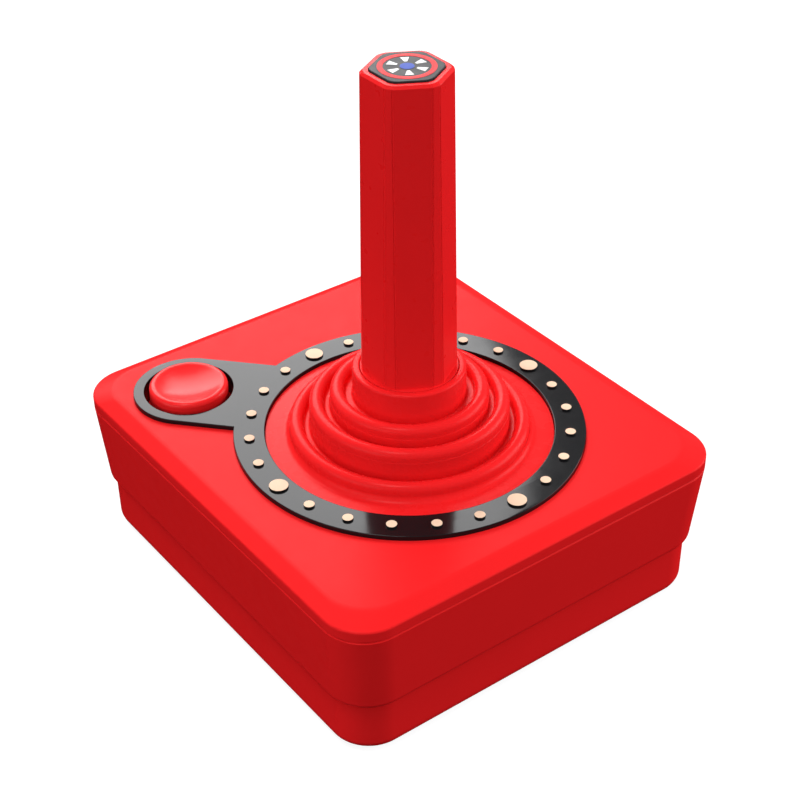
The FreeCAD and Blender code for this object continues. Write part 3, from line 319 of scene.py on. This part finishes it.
def add_turned(shape, profile, centre, steps=TURN_STEPS):
    """Turn a closed profile of radius and height round an upright axis."""
    rings = []
    for radius, height in profile:
        points = [centre] if radius < ON_AXIS else circle(centre, radius, steps)
        rings.append(add_ring(shape, points, height))
    faces = []
    for low, high in zip(rings, rings[1:] + rings[:1]):
        if len(low) == 1 and len(high) == 1:
            continue
        for step in range(steps):
            after = (step + 1) % steps
            corners = [low[step % len(low)], low[after % len(low)],
                       high[after % len(high)], high[step % len(high)]]
            corners = list(dict.fromkeys(corners))
            faces.append(shape.faces.new(corners))
    return faces


def turned(name, profile, centre, finish, steps=TURN_STEPS):
    """A piece that is one turned profile."""
    shape = bmesh.new()
    add_turned(shape, profile, centre, steps)
    return new_object(name, mesh_of(shape, name), finish)


def cut(thing, tools):
    """Take the tools away from a piece, and keep the plain mesh."""
    for tool in tools:
        taken = thing.modifiers.new("cut", "BOOLEAN")
        taken.operation = "DIFFERENCE"
        taken.solver = "EXACT"
        taken.object = tool
    bpy.context.view_layer.update()
    graph = bpy.context.evaluated_depsgraph_get()
    mesh = bpy.data.meshes.new_from_object(thing.evaluated_get(graph))
    thing.modifiers.clear()
    thing.data = mesh
    for tool in tools:
        bpy.data.objects.remove(tool)
    smooth(mesh)


# The case: two shells and the lid.

CASE_HALF_WIDE = 45.0
CASE_HALF_DEEP = 49.5
CORNER = 8.9
# How far the plan is drawn in at the lower edges of the two shells.
UPPER_IN = 1.25
LOWER_IN = 2.25
BOTTOM_ROUND = 1.7
# Softened edges: how far in the edge is looked for, width and steps.
STEP_SOFT = (0.0, 1.2, 6)
ROUND_SOFT = (0.6, 0.6, 4)
WALL_SOFT = (0.1, 0.5, 2)
LEVEL_ROOM = 0.03
PLAN_ROOM = 0.05
# The lid's edge, its sloping margin and the flat top behind it.
LID_SIDE = 32.8
LID_ROUND = 0.5
LID_MARGIN = 3.2
LID_EASE = 2.6
LID_FLAT = 3.0
LID_UNDER = 1.0
SEAM_ROUND = 0.1
# Room round what sits in the lid's openings, and how far a cut runs on.
SEAT_ROOM = 0.05
CUT_ON = 1
FLANGE_OVER = 0.2


def plan(inset, steps=14):
    """The case's rounded plan, drawn in by inset."""
    x = CASE_HALF_WIDE - inset - CORNER
    y = CASE_HALF_DEEP - inset - CORNER
    points = []
    for turn, centre in enumerate(((x, y), (-x, y), (-x, -y), (x, -y))):
        start = turn * math.pi / 2
        points.extend(arc(centre, CORNER, start, start + math.pi / 2, steps))
    return points


def on_rim(point, level, inset):
    """True if a point is at a level, on or outside the case's plan drawn in by inset."""
    x = max(abs(point.x) - (CASE_HALF_WIDE - inset - CORNER), 0)
    y = max(abs(point.y) - (CASE_HALF_DEEP - inset - CORNER), 0)
    return abs(point.z - level) < LEVEL_ROOM and math.hypot(x, y) > CORNER - PLAN_ROOM


def softened(name, node, bevels):
    """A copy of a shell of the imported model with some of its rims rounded.

    Each bevel gives the rim's level, how far the plan is drawn in there, a width and steps.
    """
    shape = bmesh.new()
    shape.from_mesh(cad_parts[node].data)
    bmesh.ops.remove_doubles(shape, verts=shape.verts, dist=WELD * MM)
    bmesh.ops.dissolve_limit(shape, angle_limit=FLAT_ANGLE, verts=shape.verts,
                             edges=shape.edges)
    for level, inset, width, steps in bevels:
        chosen = [edge for edge in shape.edges
                  if edge.is_manifold and edge.calc_face_angle() > BEND_ANGLE
                  and all(on_rim(vertex.co / MM, level, inset) for vertex in edge.verts)]
        bmesh.ops.bevel(shape, geom=chosen, offset=width * MM, offset_type="OFFSET",
                        segments=steps, profile=0.5, affect="EDGES", clamp_overlap=True)
    thing = new_object(name, mesh_of(shape, name), CASE)
    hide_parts(node)
    weigh_normals(thing)
    return thing


def prism(name, points, low, high):
    """An upright block with a plain outline, to cut with."""
    shape = bmesh.new()
    add_stack(shape, [(points, low), (points, high)])
    return new_object(name, mesh_of(shape, name), CASE)


def build_lid():
    """The lid's rounded edge, the margin that eases into its flat top, and its openings."""
    corners = [(LID_UNDER, SEAM, 0), (0.0, SEAM, SEAM_ROUND), (0.0, LID_SIDE, LID_ROUND),
               (LID_MARGIN, LID_TOP, LID_EASE), (LID_MARGIN + LID_FLAT, LID_TOP, 0)]
    profile = outline(corners, closed=False, steps=7)
    shape = bmesh.new()
    add_stack(shape, [(plan(inset), height) for inset, height in profile])
    lid = new_object("lid", mesh_of(shape, "lid"), CASE)
    flange = circle(STICK, FLANGE_OUTER + SEAT_ROOM, steps=120)
    boot = circle(STICK, BOOT_OPENING, steps=90)
    skirt = circle(BUTTON, SKIRT_OUTER + SEAT_ROOM, steps=60)
    cut(lid, [
        prism("plate_seat", keyhole(SEAT_ROOM), PLATE_LOW, LID_TOP + CUT_ON),
        prism("flange_seat", flange, FLANGE_LOW, PLATE_LOW + FLANGE_OVER),
        prism("boot_hole", boot, SEAM - CUT_ON, PLATE_LOW),
        prism("button_hole", skirt, SEAM - CUT_ON, LID_TOP),
    ])
    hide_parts("top_lid")
    weigh_normals(lid)
    return lid


def rim(level, shell_in, soft):
    """One bevel for a shell, from a level, the shell's inset and a softening."""
    further_in, width, steps = soft
    return level, shell_in + further_in, width, steps


def build_case():
    """The two shells with softened edges, and the lid."""
    upper = softened("upper_case", "upper_shell", [rim(STEP, UPPER_IN, STEP_SOFT)])
    lid = build_lid()
    middle = BOTTOM + BOTTOM_ROUND * (1 - math.cos(math.pi / 4))
    wall = BOTTOM + BOTTOM_ROUND
    lower = softened("lower_case", "lower_shell", [
        rim(middle, LOWER_IN, ROUND_SOFT), rim(wall, LOWER_IN, WALL_SOFT),
    ])
    for piece in (upper, lid, lower):
        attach(piece, "housing")


# The black trim plate with its dots.

RING_OUTER = 35.1
RING_INNER = 28.9
RING_STEPS = 150
ARM_HALF = 11.35
ARM_TURN = math.radians(-47.4)
ARM_STEPS = 64
WINDOW = 9.15
WINDOW_STEPS = 72
PLATE_EDGE = 0.14
SKIRT_LOW = 30.7
SKIRT_OUTER = 10.0
DOT_CIRCLE = 32.0
DOT_COUNT = 24
DOT_FIRST = 2.03
DOT_LOW = PLATE_TOP - 0.1
DOT_TOP = 35.68
DOT_ROUND = 0.07
DOT_SMALL = 1.05
DOT_LARGE = 1.87
LARGE_EVERY = 6
CREAM_ABOVE = DOT_TOP - 0.05


def arm_meets_ring(side, room):
    """Where one edge of the arm runs into the ring; side is 1 or -1."""
    along = Vector((math.cos(ARM_TURN), math.sin(ARM_TURN)))
    across = Vector((-along.y, along.x)) * side * (ARM_HALF + room)
    start = Vector(BUTTON) + across - Vector(STICK)
    middle = -start.dot(along)
    miss = (start + along * middle).length
    reach = middle - math.sqrt((RING_OUTER + room) ** 2 - miss ** 2)
    return start + along * reach


def keyhole(room=0.0):
    """The plate's outer outline: round the button's end, along the arm and round the ring."""
    far = arm_meets_ring(1, room)
    near = arm_meets_ring(-1, room)
    start = math.atan2(near.y, near.x)
    end = math.atan2(far.y, far.x)
    if start < 0:
        start += 2 * math.pi
    if end < start:
        end += 2 * math.pi
    ring = arc(STICK, RING_OUTER + room, start, end, RING_STEPS)
    quarter = math.pi / 2
    tip = arc(BUTTON, ARM_HALF + room, ARM_TURN + quarter, ARM_TURN + 3 * quarter, ARM_STEPS)
    return ring + tip


def add_spline(curve, points):
    """One closed outline in a flat curve."""
    spline = curve.splines.new("POLY")
    spline.points.add(len(points) - 1)
    for place, (x, y) in zip(spline.points, points):
        place.co = (x * MM, y * MM, 0, 1)
    spline.use_cyclic_u = True


def plate_mesh():
    """A flat plate with holes and a fine bevel all round, from outlines."""
    curve = bpy.data.curves.new("plate_outlines", "CURVE")
    curve.dimensions = "2D"
    curve.fill_mode = "BOTH"
    curve.extrude = ((PLATE_TOP - PLATE_LOW) / 2 - PLATE_EDGE) * MM
    curve.bevel_depth = PLATE_EDGE * MM
    curve.bevel_resolution = 2
    curve.offset = -PLATE_EDGE * MM
    add_spline(curve, keyhole())
    add_spline(curve, circle(STICK, RING_INNER, RING_STEPS))
    add_spline(curve, circle(BUTTON, WINDOW, WINDOW_STEPS))
    carrier = bpy.data.objects.new("plate_outlines", curve)
    scene.collection.objects.link(carrier)
    bpy.context.view_layer.update()
    mesh = bpy.data.meshes.new_from_object(carrier.evaluated_get(
        bpy.context.evaluated_depsgraph_get()))
    bpy.data.objects.remove(carrier)
    mesh.materials.clear()
    shape = bmesh.new()
    shape.from_mesh(mesh)
    middle = (PLATE_TOP + PLATE_LOW) / 2
    bmesh.ops.translate(shape, verts=shape.verts, vec=(0, 0, middle * MM))
    bmesh.ops.remove_doubles(shape, verts=shape.verts, dist=WELD * MM)
    return mesh_of(shape, "trim")


def dot_profile(radius):
    """A dot's profile, with a rounded upper edge."""
    side = outline([(radius, DOT_LOW, 0), (radius, DOT_TOP, DOT_ROUND), (0, DOT_TOP, 0)],
                   closed=False, steps=3)
    return [(0, DOT_LOW)] + side


def build_dots():
    """The ring of raised dots, every sixth one large, with cream tops."""
    shape = bmesh.new()
    for index in range(DOT_COUNT):
        angle = math.radians(DOT_FIRST + 360 * index / DOT_COUNT)
        radius = DOT_SMALL if index % LARGE_EVERY else DOT_LARGE
        centre = (STICK[0] + DOT_CIRCLE * math.cos(angle),
                  STICK[1] + DOT_CIRCLE * math.sin(angle))
        for face in add_turned(shape, dot_profile(radius), centre, steps=40):
            heights = [vertex.co.z for vertex in face.verts]
            face.material_index = int(min(heights) > CREAM_ABOVE * MM)
    dots = new_object("trim_dots", mesh_of(shape, "trim_dots"), TRIM)
    dots.data.materials.append(CREAM)
    return dots


def build_trim():
    """The plate, the skirt that lines the button's hole, and the dots."""
    plate = new_object("trim", plate_mesh(), TRIM)
    weigh_normals(plate)
    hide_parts("trim_plate")
    lining = washer(WINDOW, SKIRT_OUTER, SKIRT_LOW, PLATE_LOW)
    skirt = turned("trim_skirt", lining, BUTTON, TRIM, WINDOW_STEPS)
    for piece in (plate, skirt, build_dots()):
        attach(piece, "housing")


# The rubber boot.

FLANGE_LOW = 32.55
FLANGE_OUTER = 32.3
BOOT_OPENING = 20.0
RING_ROOM = 0.06
FACE_LEVEL = 34.45
FACE_ROUND = 0.12
FOOT_ROUND = 1.3
COLLAR = 11.2
COLLAR_TOP = 49.75
COLLAR_ROUND = 0.55
BORE = 9.7
BORE_ROUND = 0.3
# Each fold: outer radius, top, the crease behind it.
FOLDS = ((24.0, 37.85, 35.75), (19.85, 42.55, 40.45), (15.7, 45.05, 42.95))
FOLD_WIDE = 2.9
CREST = 1.4
CREASE = 0.42
LINE_DROP = 2.3
LINE_DEEP = 0.045
# Thickness of a fold's outer wall, its inner wall and its crease, and the roundings inside.
BOOT_WALL = 0.9
INNER_WALL = 0.5
CREASE_WALL = 0.75
INSIDE_ROUND = 0.5
BEND_ROUND = 0.3
# How far out from the third fold's wall the two pieces meet.
MEET_OUT = 0.62


def fold_outside(index):
    """One fold's outer wall with its fine line and its crest, and the foot of what follows."""
    radius, top, crease = FOLDS[index]
    line = top - LINE_DROP
    following = FOLDS[index + 1][0] if index + 1 < len(FOLDS) else COLLAR
    corners = []
    if index == 0:
        corners.append((radius, FACE_LEVEL, FOOT_ROUND))
    corners += [(radius, line - LINE_DEEP, 0), (radius - LINE_DEEP, line, 0),
                (radius - LINE_DEEP, top, CREST), (radius - FOLD_WIDE, top, CREST),
                (radius - FOLD_WIDE, crease, CREASE)]
    return corners, (following, crease, CREASE)


def fold_inside(index):
    """The hollow of one fold, from under its crease to its outer wall."""
    radius, top, crease = FOLDS[index]
    inner = radius - FOLD_WIDE + INNER_WALL
    return [(inner, crease - CREASE_WALL, 0), (inner, top - BOOT_WALL, INSIDE_ROUND),
            (radius - BOOT_WALL, top - BOOT_WALL, INSIDE_ROUND)]


def boot_profiles():
    """The closed profiles of the boot's lower and upper piece, which meet in a crease."""
    first, first_foot = fold_outside(0)
    second, second_foot = fold_outside(1)
    third, third_foot = fold_outside(2)
    walls = [fold[0] - BOOT_WALL for fold in FOLDS]
    unders = [fold[2] - CREASE_WALL for fold in FOLDS]
    face_edge = RING_INNER - RING_ROOM
    meet = (second_foot[0] + MEET_OUT, FOLDS[1][2], 0)
    under_meet = (meet[0], unders[1], 0)
    low_out = [(FLANGE_OUTER, FLANGE_LOW, 0), (FLANGE_OUTER, PLATE_LOW, 0),
               (face_edge, PLATE_LOW, 0), (face_edge, FACE_LEVEL, FACE_ROUND)]
    low_out += first + [first_foot] + second + [meet]
    low_in = [under_meet] + fold_inside(1) + [(walls[1], unders[0], BEND_ROUND)]
    low_in += fold_inside(0) + [(walls[0], FLANGE_LOW, 0)]
    high_out = [meet, second_foot] + third + [third_foot]
    high_out += [(COLLAR, COLLAR_TOP, COLLAR_ROUND), (BORE, COLLAR_TOP, BORE_ROUND)]
    high_in = [(BORE, unders[2], 0)] + fold_inside(2) + [(walls[2], unders[1], 0), under_meet]
    return outline(low_out + low_in), outline(high_out + high_in)


def build_boot():
    """The two pieces of the boot, turned from their profiles."""
    low_profile, high_profile = boot_profiles()
    low = turned("boot_folds", low_profile, STICK, BOOT)
    high = turned("boot_neck", high_profile, STICK, BOOT)
    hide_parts("boot")
    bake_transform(low)
    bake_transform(high)


# The fire button.

KNOB_RADIUS = 8.1
KNOB_TOP = 36.75
KNOB_STEPS = 128
KNOB_ROUND = 0.95
KNOB_CROWN = 3.2
KNOB_WALL = 1.5
DISH = 6.95
DISH_DEEP = 1.25
DISH_STEPS = 19
RIM_IN = 0.25
RIM_OUT = 0.02
RIM_DROP = 0.065
RIM_ROUND = 0.5
STOP = 9.6
STOP_TOP = 24.8
STOP_LOW = 23.4
STEM = 2.0
STEM_LOW = 22.9


def build_button():
    """The knob with its dished top, its stop and its stem, in one turned profile."""
    dish = []
    for step in range(DISH_STEPS - 1):
        radius = DISH * step / DISH_STEPS
        dish.append((radius, KNOB_TOP - DISH_DEEP * (1 - (radius / DISH) ** 2)))
    edge = outline([(DISH - RIM_IN, KNOB_TOP - RIM_DROP, 0),
                    (DISH + RIM_OUT, KNOB_TOP, RIM_ROUND),
                    (KNOB_RADIUS, KNOB_TOP - RIM_OUT, KNOB_ROUND),
                    (KNOB_RADIUS, STOP_TOP, 0)], closed=False, steps=7)
    inside = KNOB_RADIUS - KNOB_WALL
    below = [(STOP, STOP_TOP), (STOP, STOP_LOW), (inside, STOP_LOW),
             (inside, KNOB_TOP - KNOB_CROWN), (STEM, KNOB_TOP - KNOB_CROWN),
             (STEM, STEM_LOW), (0, STEM_LOW)]
    knob = turned("knob", dish + edge + below, BUTTON, KNOB, KNOB_STEPS)
    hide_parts("fire_button")
    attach(knob, "button")


# The grip and its cap.

FLAT_LOW = 17.3
FLAT_HIGH = 15.2
# The strips on the corners, and how slowly they narrow as the outline is drawn in.
STRIP_LOW = 2.4
STRIP_HIGH = 1.5
STRIP_NARROWS = 12
GROOVE_HALF = 0.15
GROOVE_DEEP = 0.16
TOP_BEVEL = 0.5
EDGE_BEVEL = 0.05
EDGE_ANGLE = math.radians(20)
# The grip's round root in the boot's collar.
ROOT = 9.3
ROOT_LOW = 41.35
ROOT_TOP = GRIP_LOW - 0.8
SHOULDER = 9.62
SHOULDER_TOP = COLLAR_TOP - 0.06
CORE = FLAT_LOW / 2 - 0.3
CORE_LOW = GRIP_LOW - 1.2
ROOT_STEPS = 128
# The cap in its seat, and the chamfer of its edge.
CAP_INSET = 1.4
CAP_ROOM = 0.05
CHAMFER_LOW = CAP_TOP - 0.17
CHAMFER_IN = 0.12
CAP_FACE = CAP_TOP - 0.05
# The print on the cap.
PRINT_LOW = CAP_TOP - 0.08
PRINT_RING_IN = 4.3
PRINT_RING_OUT = 5.3
PRINT_CENTRE = 1.3
WEDGE_IN = 1.9
WEDGE_IN_HALF = 0.25
WEDGE_OUT = 3.7
WEDGE_OUT_HALF = 0.8


def hex_ring(across, groove=0.0, inset=0.0, strip_wide=STRIP_HIGH):
    """A hexagon's outline with a flat strip on each corner, between two fine grooves."""
    half = across / 2 - inset
    corner = half / math.cos(math.pi / 6)
    strip = strip_wide / 2 * (1 - inset / STRIP_NARROWS)
    depth = corner - strip * math.tan(math.pi / 6)
    points = []
    for side in range(6):
        angle = math.radians(30 + 60 * side)
        out = Vector((math.cos(angle), math.sin(angle)))
        along = Vector((-out.y, out.x))
        for hand in (-1, 1):
            edge = out * depth + along * strip * hand
            slope = angle + hand * math.pi / 6
            flat = Vector((-math.sin(slope), math.cos(slope))) * hand
            pieces = [edge + flat * GROOVE_HALF, edge - out * groove,
                      edge - along * GROOVE_HALF * hand]
            points.extend(pieces if hand < 0 else reversed(pieces))
    return points


def build_grip():
    """The tapered grip with its grooves and the seat for its cap, and its round root."""
    shape = bmesh.new()
    bevel_low = FLAT_HIGH + (FLAT_LOW - FLAT_HIGH) * TOP_BEVEL / (GRIP_HIGH - GRIP_LOW)
    add_stack(shape, [
        (hex_ring(FLAT_LOW, GROOVE_DEEP, 0.0, STRIP_LOW), GRIP_LOW),
        (hex_ring(bevel_low, GROOVE_DEEP), GRIP_HIGH - TOP_BEVEL),
        (hex_ring(bevel_low, GROOVE_DEEP, TOP_BEVEL), GRIP_HIGH),
        (hex_ring(bevel_low, 0.0, CAP_INSET), GRIP_HIGH),
        (hex_ring(bevel_low, 0.0, CAP_INSET), CAP_LOW),
    ], STICK)
    root = [(0, ROOT_LOW), (ROOT, ROOT_LOW), (ROOT, ROOT_TOP), (SHOULDER, ROOT_TOP),
            (SHOULDER, SHOULDER_TOP), (CORE, SHOULDER_TOP), (CORE, CORE_LOW), (0, CORE_LOW)]
    add_turned(shape, root, STICK, ROOT_STEPS)
    thing = new_object("handle", mesh_of(shape, "handle"), GRIP)
    bevel = thing.modifiers.new("edges", "BEVEL")
    bevel.width = EDGE_BEVEL * MM
    bevel.segments = 2
    bevel.limit_method = "ANGLE"
    bevel.angle_limit = EDGE_ANGLE
    weigh_normals(thing)
    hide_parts("grip")
    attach(thing, "stick")


def build_wedges():
    """Six small white wedges between the print's centre and its ring."""
    shape = bmesh.new()
    for side in range(6):
        angle = math.radians(60 * side)
        out = Vector((math.cos(angle), math.sin(angle)))
        along = Vector((-out.y, out.x))
        inner = out * WEDGE_IN
        outer = out * WEDGE_OUT
        points = [inner - along * WEDGE_IN_HALF, outer - along * WEDGE_OUT_HALF,
                  outer + along * WEDGE_OUT_HALF, inner + along * WEDGE_IN_HALF]
        add_stack(shape, [(points, PRINT_LOW), (points, CAP_TOP)], STICK)
    return new_object("print_wedges", mesh_of(shape, "print_wedges"), PRINT_WHITE)


def build_cap():
    """The cap in the top of the grip, with its print: a ring, a centre and wedges."""
    shape = bmesh.new()
    inset = CAP_INSET + CAP_ROOM
    add_stack(shape, [
        (hex_ring(FLAT_HIGH, GROOVE_DEEP, inset), CAP_LOW),
        (hex_ring(FLAT_HIGH, GROOVE_DEEP, inset), CHAMFER_LOW),
        (hex_ring(FLAT_HIGH, GROOVE_DEEP, inset + CHAMFER_IN), CAP_FACE),
    ], STICK)
    cap = new_object("cap", mesh_of(shape, "cap"), CAP)
    weigh_normals(cap)
    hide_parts("grip_cap")
    ring = washer(PRINT_RING_IN, PRINT_RING_OUT, PRINT_LOW, CAP_TOP)
    centre = washer(0, PRINT_CENTRE, PRINT_LOW, CAP_TOP)
    pieces = [cap, turned("print_ring", ring, STICK, PRINT_RED, steps=96),
              turned("print_centre", centre, STICK, PRINT_BLUE, steps=48),
              build_wedges()]
    for piece in pieces:
        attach(piece, "stick")


# The studio.

FLOOR_SIZE = 6
FLOOR_GREY = (0.22, 0.22, 0.22)
FLOOR_GLOW = 0.88
WHITE = (1, 1, 1, 1)
# The dome's strength, and the heights between which it comes in above the horizon.
DOME = 0.45
DOME_STARTS = -0.02
DOME_FULL = 0.1
AIM = Vector((0, 0, 40 * MM))
PANELS = (
    # name, azimuth, elevation, distance, width, height, radiance
    ("back_panel", 18, 36, 1.0, 0.72, 0.62, 7.2),
    ("right_panel", 118, 17, 1.0, 0.9, 0.6, 5.6),
    ("left_panel", -96, 17, 1.0, 0.9, 0.6, 2.2),
    ("top_panel", -110, 70, 1.0, 0.27, 0.27, 15.5),
)


def add_floor():
    """A pale floor with a glow of its own, which neither lights the part nor mirrors in it."""
    bpy.ops.mesh.primitive_plane_add(size=FLOOR_SIZE)
    floor = bpy.context.object
    floor.name = "floor"
    pale = finish_of("floor", FLOOR_GREY, 0.9, specular=0.05,
                     cloud=0.01, cloud_scale=3.0, grain=0.0)
    shader = pale.node_tree.nodes["Principled BSDF"]
    shader.inputs["Emission Color"].default_value = WHITE
    shader.inputs["Emission Strength"].default_value = FLOOR_GLOW
    floor.data.materials.append(pale)
    floor.visible_diffuse = False
    floor.visible_glossy = False


def add_world():
    """A soft dome above the horizon, nothing below it, and a white backdrop."""
    world = bpy.data.worlds.new("studio")
    scene.world = world
    world.use_nodes = True
    tree = world.node_tree
    base = tree.nodes["Background"]
    place = tree.nodes.new("ShaderNodeTexCoord")
    split = tree.nodes.new("ShaderNodeSeparateXYZ")
    rise = tree.nodes.new("ShaderNodeMapRange")
    rise.inputs["From Min"].default_value = DOME_STARTS
    rise.inputs["From Max"].default_value = DOME_FULL
    rise.inputs["To Max"].default_value = DOME
    link(tree, place, "Generated", split, "Vector")
    link(tree, split, "Z", rise, "Value")
    link(tree, rise, "Result", base, "Strength")
    base.inputs["Color"].default_value = WHITE
    white = tree.nodes.new("ShaderNodeBackground")
    seen = tree.nodes.new("ShaderNodeLightPath")
    choose = tree.nodes.new("ShaderNodeMixShader")
    link(tree, seen, "Is Camera Ray", choose, "Fac")
    link(tree, base, "Background", choose, 1)
    link(tree, white, "Background", choose, 2)
    link(tree, choose, "Shader", tree.nodes["World Output"], "Surface")


def add_panel(name, azimuth, elevation, distance, wide, high, radiance):
    """A soft panel that faces the part; azimuth turns from +Y toward +X, in degrees."""
    data = bpy.data.lights.new(name, "AREA")
    data.shape = "RECTANGLE"
    data.size = wide
    data.size_y = high
    data.energy = radiance * math.pi * wide * high
    panel = bpy.data.objects.new(name, data)
    scene.collection.objects.link(panel)
    turn = math.radians(azimuth)
    lift = math.radians(elevation)
    away = Vector((math.sin(turn) * math.cos(lift), math.cos(turn) * math.cos(lift),
                   math.sin(lift)))
    panel.location = AIM + away * distance
    panel.rotation_euler = away.to_track_quat("Z", "Y").to_euler()
    panel.visible_camera = False


add_camera()
dress_nodes()
build_case()
build_trim()
build_boot()
build_button()
build_grip()
build_cap()
add_floor()
add_world()
for values in PANELS:
    add_panel(*values)
scene.view_settings.view_transform = "Standard"
